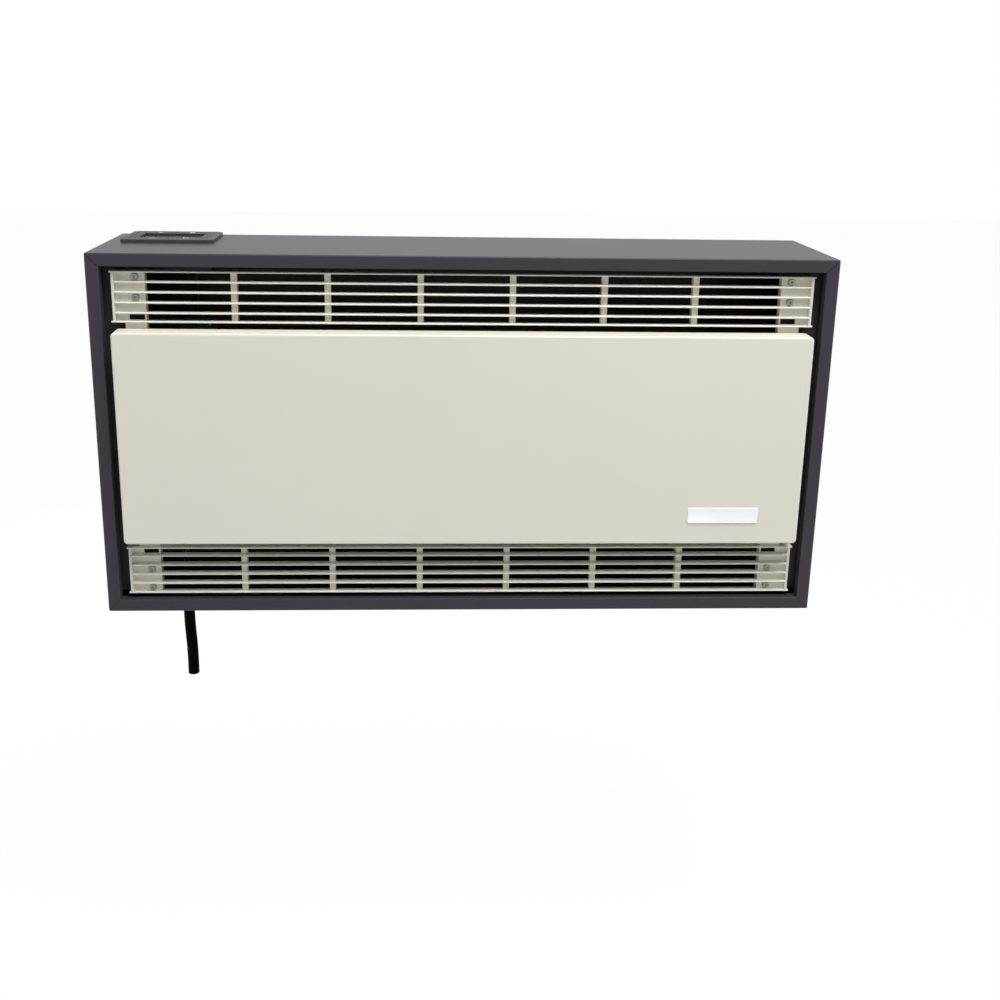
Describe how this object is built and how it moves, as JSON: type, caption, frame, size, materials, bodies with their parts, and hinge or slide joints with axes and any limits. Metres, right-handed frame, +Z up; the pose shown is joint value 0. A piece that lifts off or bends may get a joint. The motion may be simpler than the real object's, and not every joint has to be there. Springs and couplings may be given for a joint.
{
  "type": "wall-mounted fan heater",
  "caption": "Wall-mounted fan heater: charcoal steel casing, cream louvred grilles and proud front panel, keypad with display on top, crossflow blower inside.",
  "frame": {"origin": "on the wall, at the centre of the wall bracket's four fixing holes", "axes": "+X to the viewer's right, +Y into the wall, +Z up; the front faces -Y"},
  "size_m": [0.684, 0.1555, 0.4656],
  "materials": {
    "charcoal_paint": "fine satin powder coat",
    "cream_paint": "smooth satin powder coat",
    "black_sheet": "black heat-resistant paint",
    "zinc_sheet": "galvanised sheet",
    "bright_screw": "zinc plated",
    "aluminium_wheel": "rolled aluminium",
    "bearing_bronze": "sintered bronze",
    "black_rubber": "moulded rubber",
    "lead_sheath": "smooth black sheath",
    "core_brown": "core insulation",
    "core_blue": "core insulation",
    "core_earth": "green and yellow core insulation",
    "motor_steel": "laminated silicon steel",
    "motor_winding": "taped enamelled winding",
    "cast_zinc": "die-cast",
    "element_steel": "heat-tinted stainless sheath",
    "ceramic_white": "unglazed ceramic",
    "board_green": "glass-fibre circuit board",
    "component_black": "moulded component case",
    "relay_case": "moulded relay case",
    "natural_nylon": "natural nylon",
    "control_plastic": "fine-textured grey moulding",
    "key_plastic": "fine-textured grey moulding",
    "display_glass": "clear window",
    "display_face": "grey-green liquid-crystal panel"
  },
  "bodies": {
    "heater": {"back_plate": "charcoal_paint", "bearing_mount": "black_rubber", "blower_cheek_left": "black_sheet", "blower_cheek_right": "black_sheet", "board_spacers": "natural_nylon", "board_transformer": "component_black", "bottom_grille_blades": "cream_paint", "bottom_grille_combs": "cream_paint", "casing": "charcoal_paint", "casing_screws": "charcoal_paint", "chassis_screws": "bright_screw", "control_bezel": "control_plastic", "control_board": "board_green", "control_cable": "component_black", "control_housing": "component_black", "cord_grip": "black_rubber", "display_frame": "component_black", "display_module": "display_face", "display_window": "display_glass", "earth_stud": "bearing_bronze", "element_bushes": "ceramic_white", "element_supports": "zinc_sheet", "end_bracket_left": "cream_paint", "end_bracket_right": "cream_paint", "front_panel": "cream_paint", "grille_screws": "bright_screw", "heating_elements": "element_steel", "key_switches": "component_black", "lead_core_blue": "core_blue", "lead_core_brown": "core_brown", "lead_core_earth": "core_earth", "mains_lead": "lead_sheath", "motor_bearings": "bearing_bronze", "motor_bridges": "cast_zinc", "motor_coil": "motor_winding", "motor_pillars": "bright_screw", "motor_stator": "motor_steel", "mounting_rails": "charcoal_paint", "outlet_deflector": "black_sheet", "outlet_hood": "black_sheet", "panel_clips": "zinc_sheet", "power_board": "board_green", "power_relays": "relay_case", "scroll_housing": "black_sheet", "stub_bearing": "bearing_bronze", "terminal_block": "natural_nylon", "terminal_screws": "bright_screw", "thermal_cutout": "component_black", "top_grille_blades": "cream_paint", "top_grille_combs": "cream_paint", "vortex_tongue": "black_sheet", "wall_bracket": "zinc_sheet"},
    "fan": {"impeller": "aluminium_wheel", "fan_stub": "bright_screw", "fan_shaft": "bright_screw", "motor_rotor": "motor_steel"},
    "plus_key": {"key_plus": "key_plastic"},
    "menu_key": {"key_menu": "key_plastic"},
    "minus_key": {"key_minus": "key_plastic"},
    "power_key": {"key_power": "key_plastic"}
  },
  "joints": [
    {"name": "fan_spin", "type": "hinge", "parent": "heater", "child": "fan", "pos_m": [0, -0.072, 0.018], "axis": [1, 0, 0], "continuous": true},
    {"name": "press_plus", "type": "slide", "parent": "heater", "child": "plus_key", "axis": [0, 0, -1], "range_m": [0, 0.0008], "stiffness_N_per_m": 1500, "springref_m": -0.0004},
    {"name": "press_menu", "type": "slide", "parent": "heater", "child": "menu_key", "axis": [0, 0, -1], "range_m": [0, 0.0008], "stiffness_N_per_m": 1500, "springref_m": -0.0004},
    {"name": "press_minus", "type": "slide", "parent": "heater", "child": "minus_key", "axis": [0, 0, -1], "range_m": [0, 0.0008], "stiffness_N_per_m": 1500, "springref_m": -0.0004},
    {"name": "press_power", "type": "slide", "parent": "heater", "child": "power_key", "axis": [0, 0, -1], "range_m": [0, 0.0008], "stiffness_N_per_m": 1500, "springref_m": -0.0004}
  ]
}
